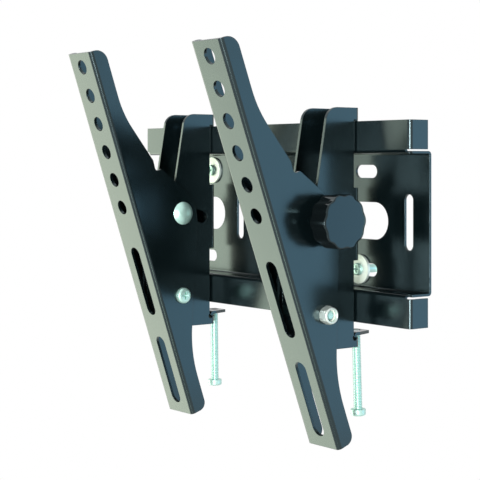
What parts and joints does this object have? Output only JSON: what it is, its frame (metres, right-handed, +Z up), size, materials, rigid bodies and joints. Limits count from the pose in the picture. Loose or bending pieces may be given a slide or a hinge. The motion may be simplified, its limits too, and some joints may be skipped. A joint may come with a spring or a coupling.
{
  "type": "tv wall mount",
  "caption": "Tilting tv wall mount: a folded rail plate, hooked brackets, slotted arms clamped by star knobs, and lock screws.",
  "frame": {"origin": "in the wall plane, midway between the two wall screws, at the middle of the wall plate", "axes": "+X along the rails to the side of the knob seen in the picture, +Y into the wall, +Z up"},
  "size_m": [0.285, 0.1662, 0.251],
  "materials": {
    "black_paint": "glossy black powder coat",
    "zinc": "bright zinc plate",
    "white_nylon": "satin",
    "black_plastic": "fine satin moulding",
    "brass_insert": "turned"
  },
  "bodies": {
    "wall": {"wall_plate": "black_paint", "wall_screw_upper_left": "zinc", "wall_washer_upper_left": "zinc", "wall_screw_lower_right": "zinc", "wall_washer_lower_right": "zinc"},
    "bracket_right": {"hook_bracket_right": "black_paint"},
    "arm_right": {"tv_arm_right": "black_paint", "clamp_bolt_right": "zinc", "pivot_screw_right": "zinc", "pivot_nut_right": "zinc", "pivot_nut_ring_right": "white_nylon"},
    "knob_right": {"knob_grip_right": "black_plastic", "knob_insert_right": "brass_insert"},
    "lock_right": {"lock_screw_right": "zinc"},
    "bracket_left": {"hook_bracket_left": "black_paint"},
    "arm_left": {"tv_arm_left": "black_paint", "clamp_bolt_left": "zinc", "pivot_screw_left": "zinc", "pivot_nut_left": "zinc", "pivot_nut_ring_left": "white_nylon"},
    "knob_left": {"knob_grip_left": "black_plastic", "knob_insert_left": "brass_insert"},
    "lock_left": {"lock_screw_left": "zinc"}
  },
  "joints": [
    {"name": "bracket_slide_right", "type": "slide", "parent": "wall", "child": "bracket_right", "axis": [1, 0, 0], "range_m": [-0.05965, 0.04565]},
    {"name": "arm_tilt_right", "type": "hinge", "parent": "bracket_right", "child": "arm_right", "pos_m": [0.08165, -0.045, -0.0558], "axis": [1, 0, 0], "range_deg": [-21.05, 1.95]},
    {"name": "knob_turn_right", "type": "hinge", "parent": "arm_right", "child": "knob_right", "pos_m": [0.10665, -0.04614, 0.00127], "axis": [1, 0, 0], "range_deg": [0, 540]},
    {"name": "lock_screw_lift_right", "type": "slide", "parent": "bracket_right", "child": "lock_right", "axis": [0, -0.0349, 0.9994], "range_m": [0, 0.024]},
    {"name": "bracket_slide_left", "type": "slide", "parent": "wall", "child": "bracket_left", "axis": [1, 0, 0], "range_m": [-0.0562, 0.0491]},
    {"name": "arm_tilt_left", "type": "hinge", "parent": "bracket_left", "child": "arm_left", "pos_m": [-0.0711, -0.045, -0.0558], "axis": [1, 0, 0], "range_deg": [-19.4, 3.6]},
    {"name": "knob_turn_left", "type": "hinge", "parent": "arm_left", "child": "knob_left", "pos_m": [-0.0961, -0.04449, 0.00128], "axis": [-1, 0, 0], "range_deg": [0, 540]},
    {"name": "lock_screw_lift_left", "type": "slide", "parent": "bracket_left", "child": "lock_left", "axis": [0, -0.014, 0.9999], "range_m": [0, 0.024]}
  ]
}
